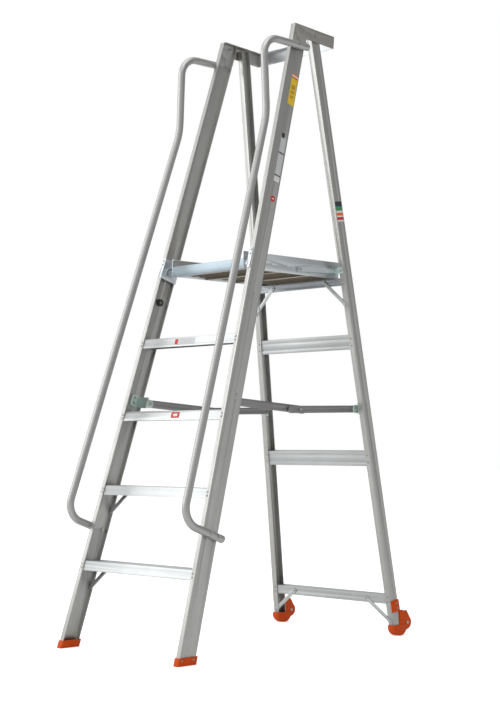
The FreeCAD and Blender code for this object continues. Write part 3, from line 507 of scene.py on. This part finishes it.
# the first line whose beginning fits a node gives its material
choices = (
    (("tread_braces", "rear_braces"), acrossPiece),
    (("tread_",), acrossTread),
    (("rear_cross_upper",), shadedCrossUpper),
    (("rear_rung", "rear_cross"), acrossPiece),
    (("platform_front_beam",), fasciaMetal),
    (("pivot_collar", "hinge_bosses"), paleSteel),
    (("guard_side",), guardMetal),
    (("guard_rear",), guardRearMetal),
    (("platform_side", "platform_link"), toeMetal),
    (("platform_front", "platform_rear"), toeAcross),
    (("deck_plank",), shadedDeckMetal),
    (("spreader_front_bar", "spreader_rear_bar"), spreaderMetal),
    (("spreader_bracket", "link_brackets"), zincPlate),
    (("frame_rivets", "rear_rivets"), rivetMetal),
    (("front_foot", "rear_foot"), orangeFoot),
    (("wheel_left", "wheel_right"), wheelPlastic),
    (("stop_buffers",), bufferRubber),
    (("handrail_plugs",), plugPlastic),
)
for nodeName in nodes:
    if nodeName in dressed:
        continue
    for starts, material in choices:
        if nodeName.startswith(starts):
            dress(nodeName, material)
            break
    else:
        dress(nodeName, steelFastener)
print("materials set")

# folded edges of the real sheet and extrusions: each main piece is copied and its edges eased
easing = {
    "merge": 0.00002,
    "flatAngle": 1.5,
    "width": 0.0007,
    "segments": 2,
    "sharpFrom": 35.0,
    "smoothTo": 40.0,
}


def selectFaces(piece, test):
    # faces chosen by centre and normal, in object mode
    for polygon in piece.data.polygons:
        polygon.select = test(polygon.center, polygon.normal)
    for edge in piece.data.edges:
        edge.select = False
    for vertex in piece.data.vertices:
        vertex.select = False
    for polygon in piece.data.polygons:
        if polygon.select:
            for v in polygon.vertices:
                piece.data.vertices[v].select = True


def easedCopy(nodeName, width):
    source = nodes[nodeName]
    piece = source.copy()
    piece.data = source.data.copy()
    piece.name = nodeName + "_eased"
    piece.parent = None
    piece.matrix_world = Matrix.Identity(4)
    bpy.context.scene.collection.objects.link(piece)
    makeActive(piece)
    bpy.ops.object.mode_set(mode="EDIT")
    bpy.ops.mesh.select_mode(type="VERT")
    bpy.ops.mesh.select_all(action="SELECT")
    bpy.ops.mesh.remove_doubles(threshold=easing["merge"])
    bpy.ops.mesh.dissolve_limited(angle_limit=math.radians(easing["flatAngle"]))
    bpy.ops.object.mode_set(mode="OBJECT")
    rounding = piece.modifiers.new("easedEdges", "BEVEL")
    rounding.width = width
    rounding.segments = easing["segments"]
    rounding.limit_method = "ANGLE"
    rounding.angle_limit = math.radians(easing["sharpFrom"])
    rounding.use_clamp_overlap = True
    bpy.ops.object.modifier_apply(modifier="easedEdges")
    bpy.ops.object.shade_smooth_by_angle(angle=math.radians(easing["smoothTo"]))
    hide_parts(nodeName)
    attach(piece, bodyOf[nodeName])


bodyOf = {}
for bodyName, members in frame["record"]["behaviour"]["bodies"].items():
    for member in members:
        bodyOf[member] = bodyName

easedNodes = {
    "frame_aluminium": ["stile_right", "stile_left", "rear_leg_right", "rear_leg_left", "guard_side_right",
                        "guard_side_left", "guard_rear_rail", "rear_rung_lower", "rear_rung_upper",
                        "rear_cross_bottom", "rear_cross_upper"],
    "tread_aluminium": ["tread_1", "tread_2", "tread_3", "tread_4"],
    "platform_aluminium": ["platform_side_right", "platform_side_left", "platform_front_beam",
                           "platform_rear_board"],
    "orange_plastic": ["front_foot_right", "front_foot_left", "rear_foot_right", "rear_foot_left"],
    "brace_aluminium": ["tread_braces", "rear_braces_upper", "rear_braces_bottom"],
    "zinc_bracket": ["spreader_bracket_front_right", "spreader_bracket_front_left",
                     "spreader_bracket_rear_right", "spreader_bracket_rear_left", "pivot_collar_right",
                     "pivot_collar_left", "hinge_bosses", "link_brackets"],
    "buffer_rubber": ["stop_buffers"],
    "spreader_aluminium": ["spreader_front_bar_right", "spreader_front_bar_left", "spreader_rear_bar_right",
                           "spreader_rear_bar_left"],
}
edgeWidths = {"orange_plastic": 0.0018, "buffer_rubber": 0.0016, "zinc_bracket": 0.0005}
for slotName, names in easedNodes.items():
    for nodeName in names:
        easedCopy(nodeName, edgeWidths.get(slotName, easing["width"]))
print("edges eased on", sum(len(names) for names in easedNodes.values()), "pieces")

# castors: a solid moulded wheel with rounded edges, a recessed web and a raised hub
castor = {
    "radius": 0.030,
    "wide": 0.018,
    "segments": 64,
    "rimWide": 0.0065,
    "recess": 0.0030,
    "recessSlope": 0.0012,
    "hubRadius": 0.0105,
    "hubRise": 0.0026,
    "hubSlope": 0.0010,
    "hubRim": 0.0022,
    "dishSlope": 0.0006,
    "dishDepth": 0.0008,
    "tyreShare": 0.6,
    "edge": 0.0012,
    "edgeSegments": 3,
    "sharpFrom": 40.0,
    "smoothTo": 35.0,
}


def buildCastor(side):
    low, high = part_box("wheel_" + side)
    centre = (Vector(low) + Vector(high)) / 2
    deselectAll()
    bpy.ops.mesh.primitive_cylinder_add(vertices=castor["segments"], radius=castor["radius"],
                                        depth=castor["wide"], location=(0, 0, 0))
    wheel = bpy.context.object
    wheel.name = "castor_" + side
    wheel.data.materials.append(wheelPlastic)
    wheel.data.materials.append(tyreRubber)
    webWide = castor["radius"] - castor["rimWide"] - castor["recessSlope"] - castor["hubRadius"]
    for end in (1, -1):
        bpy.ops.object.mode_set(mode="EDIT")
        bpy.ops.mesh.select_mode(type="FACE")
        bpy.ops.mesh.select_all(action="DESELECT")
        bpy.ops.object.mode_set(mode="OBJECT")
        selectFaces(wheel, lambda c, n: n.z * end > 0.9 and c.z * end > castor["wide"] * 0.4)
        bpy.ops.object.mode_set(mode="EDIT")
        bpy.ops.mesh.inset(thickness=castor["rimWide"], depth=0)
        bpy.ops.mesh.inset(thickness=castor["recessSlope"], depth=-castor["recess"])
        bpy.ops.mesh.inset(thickness=webWide, depth=0)
        bpy.ops.mesh.inset(thickness=castor["hubSlope"], depth=castor["hubRise"])
        bpy.ops.mesh.inset(thickness=castor["hubRim"], depth=0)
        bpy.ops.mesh.inset(thickness=castor["dishSlope"], depth=-castor["dishDepth"])
        bpy.ops.object.mode_set(mode="OBJECT")
    for polygon in wheel.data.polygons:  # the tyre is the outer band
        reach = math.hypot(polygon.center.x, polygon.center.y)
        polygon.material_index = 1 if reach > castor["radius"] - castor["rimWide"] * castor["tyreShare"] else 0
    rounding = wheel.modifiers.new("roundedEdges", "BEVEL")
    rounding.width = castor["edge"]
    rounding.segments = castor["edgeSegments"]
    rounding.limit_method = "ANGLE"
    rounding.angle_limit = math.radians(castor["sharpFrom"])
    bpy.ops.object.modifier_apply(modifier="roundedEdges")
    bpy.ops.object.shade_smooth_by_angle(angle=math.radians(castor["smoothTo"]))
    wheel.matrix_world = Matrix.Translation(centre) @ Matrix.Rotation(math.radians(90), 4, "Y")
    bpy.ops.object.transform_apply(location=True, rotation=True, scale=True)
    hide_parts("wheel_" + side)
    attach(wheel, "wheel_" + side)


for side in ("right", "left"):
    buildCastor(side)
print("castors built")

# stickers, without lettering: thin plates with rounded corners, cut into bands of colour
rails = {
    "stile": {"base": (0.3575, -0.669909, 0.0), "along": (-0.05093, 0.28594, 0.95689),
              "back": (0.0, 0.95813, -0.28631)},
    "leg": {"base": (0.3542, 0.560791, 0.0), "along": (-0.0529, -0.1444, 0.9881),
            "back": (0.0, 0.98949, 0.1446)},
}
sticker = {
    "thick": 0.00025,
    "corner": 0.003,
    "cornerSegments": 4,
    "lift": 0.00005,
    "markLift": 0.0003,
}
stickerSkins = {}
for skinName in ("Silver", "Yellow", "Ochre", "Orange", "Red", "Green", "Teal", "Pale", "Dark"):
    stickerSkins[skinName] = mouldedSkin("sticker" + skinName, mouldings["sticker" + skinName])


def railPlace(railName, s, t):
    rail = rails[railName]
    along, back = Vector(rail["along"]).normalized(), Vector(rail["back"]).normalized()
    out = back.cross(along).normalized()
    spot = Vector(rail["base"]) + along * s + back * t
    turn = Matrix((back, out.cross(back), out)).transposed().to_4x4()
    return Matrix.Translation(spot) @ turn


def addSticker(name, place, wide, high, bands, body, corner=sticker["corner"]):
    # bands: (share of the height at its top, colour), from the bottom up
    deselectAll()
    bpy.ops.mesh.primitive_plane_add(size=1.0, location=(0, 0, 0))
    plate = bpy.context.object
    plate.name = name
    plate.scale = (wide, high, 1.0)
    bpy.ops.object.transform_apply(location=True, rotation=True, scale=True)
    used = []
    for share, skinName in bands:
        if skinName not in used:
            used.append(skinName)
            plate.data.materials.append(stickerSkins[skinName])
    bpy.ops.object.mode_set(mode="EDIT")
    bpy.ops.mesh.select_mode(type="VERT")
    bpy.ops.mesh.select_all(action="SELECT")
    bpy.ops.mesh.bevel(offset=corner, segments=sticker["cornerSegments"], affect="VERTICES")
    for share, skinName in bands[:-1]:
        bpy.ops.mesh.select_all(action="SELECT")
        bpy.ops.mesh.bisect(plane_co=(0, (share - 0.5) * high, 0), plane_no=(0, 1, 0))
    bpy.ops.mesh.select_all(action="SELECT")
    bpy.ops.mesh.extrude_region_move(TRANSFORM_OT_translate={"value": (0, 0, sticker["thick"])})
    bpy.ops.mesh.select_all(action="SELECT")
    bpy.ops.mesh.normals_make_consistent(inside=False)
    bpy.ops.object.mode_set(mode="OBJECT")
    for polygon in plate.data.polygons:
        level = polygon.center.y / high + 0.5
        for share, skinName in bands:
            if level <= share + 1e-6:
                polygon.material_index = used.index(skinName)
                break
    plate.matrix_world = place @ Matrix.Translation((0, 0, sticker["lift"]))
    bpy.ops.object.transform_apply(location=True, rotation=True, scale=True)
    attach(plate, body)


def frontPlace(nodeName, x, z):
    # on a tread's front lip, which leans back with the stiles
    low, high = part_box(nodeName)
    up = Vector((0, rails["stile"]["along"][1], rails["stile"]["along"][2])).normalized()
    out = Vector((1, 0, 0)).cross(up)
    turn = Matrix((Vector((1, 0, 0)), up, out)).transposed().to_4x4()
    return Matrix.Translation((x, low[1] + (z - low[2]) * up.y / up.z, z)) @ turn


def onSticker(place):
    # a mark printed on a plate stands just above it
    return place @ Matrix.Translation((0, 0, sticker["markLift"]))


addSticker("stickerTall", railPlace("stile", 2.385, 0.0555), 0.036, 0.140,
           [(0.86, "Yellow"), (0.90, "Red"), (0.95, "Pale"), (1.0, "Orange")], "front_frame")
addSticker("stickerTallMark", onSticker(railPlace("stile", 2.375, 0.0555)), 0.020, 0.060,
           [(0.22, "Ochre"), (0.34, "Yellow"), (0.56, "Ochre"), (0.68, "Yellow"), (1.0, "Ochre")],
           "front_frame", 0.0015)
addSticker("stickerMark", railPlace("stile", 2.172, 0.048), 0.016, 0.022,
           [(1.0, "Dark")], "front_frame", 0.002)
addSticker("stickerSilverStile", railPlace("stile", 2.0675, 0.0535), 0.030, 0.200,
           [(0.12, "Pale"), (0.15, "Dark"), (0.62, "Silver"), (0.65, "Dark"), (1.0, "Silver")],
           "front_frame")
addSticker("stickerDisc", railPlace("stile", 1.891, 0.052), 0.025, 0.025,
           [(1.0, "Red")], "front_frame", 0.0122)
addSticker("stickerDiscMark", onSticker(railPlace("stile", 1.891, 0.052)), 0.013, 0.0045,
           [(1.0, "Pale")], "front_frame", 0.001)
addSticker("stickerBands", railPlace("leg", 1.8045, 0.0245), 0.040, 0.087,
           [(0.05, "Silver"), (0.10, "Pale"), (0.24, "Red"), (0.31, "Pale"), (0.45, "Orange"),
            (0.55, "Pale"), (0.72, "Green"), (0.76, "Teal"), (1.0, "Dark")], "rear_frame", 0.002)
addSticker("stickerTreadFour", frontPlace("tread_4", -0.0195, 1.2235), 0.121, 0.028,
           [(1.0, "Silver")], "front_frame", 0.002)
addSticker("stickerTreadFourMark", onSticker(frontPlace("tread_4", -0.068, 1.2235)), 0.018, 0.022,
           [(1.0, "Red")], "front_frame", 0.0015)
addSticker("stickerTreadThree", frontPlace("tread_3", 0.0255, 0.9245), 0.049, 0.024,
           [(1.0, "Red")], "front_frame", 0.002)
addSticker("stickerTreadThreeMark", onSticker(frontPlace("tread_3", 0.0255, 0.9245)), 0.024, 0.010,
           [(1.0, "Pale")], "front_frame", 0.001)
print("stickers placed")
